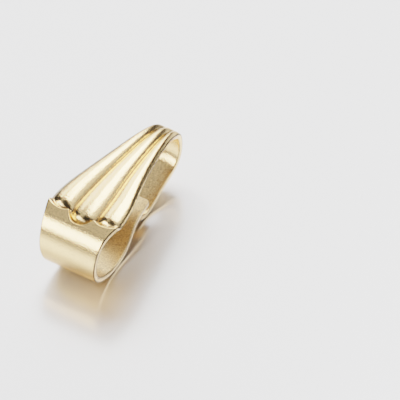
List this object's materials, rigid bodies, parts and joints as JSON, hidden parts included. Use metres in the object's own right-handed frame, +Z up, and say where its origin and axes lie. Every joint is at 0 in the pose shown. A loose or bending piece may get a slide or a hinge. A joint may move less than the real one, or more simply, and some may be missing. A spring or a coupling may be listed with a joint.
{
  "type": "clip-on pendant bail",
  "caption": "Clip-on pendant bail: a tapered loop of springy sheet metal with a ribbed face, a plain wide end and a tongue that closes over the tip.",
  "frame": {"origin": "centre of the closed loop in X, middle of the strip in Y, and the surface that the loop lies on in Z", "axes": "+X along the loop from its wide end to its narrow end, +Y across the strip, +Z up from the back arm to the ribbed face"},
  "size_m": [0.015, 0.0062, 0.0065],
  "materials": {
    "bail_strip": "satin pale gold plating with fine grain"
  },
  "bodies": {
    "root": {"bail_strip": "bail_strip"}
  },
  "joints": []
}
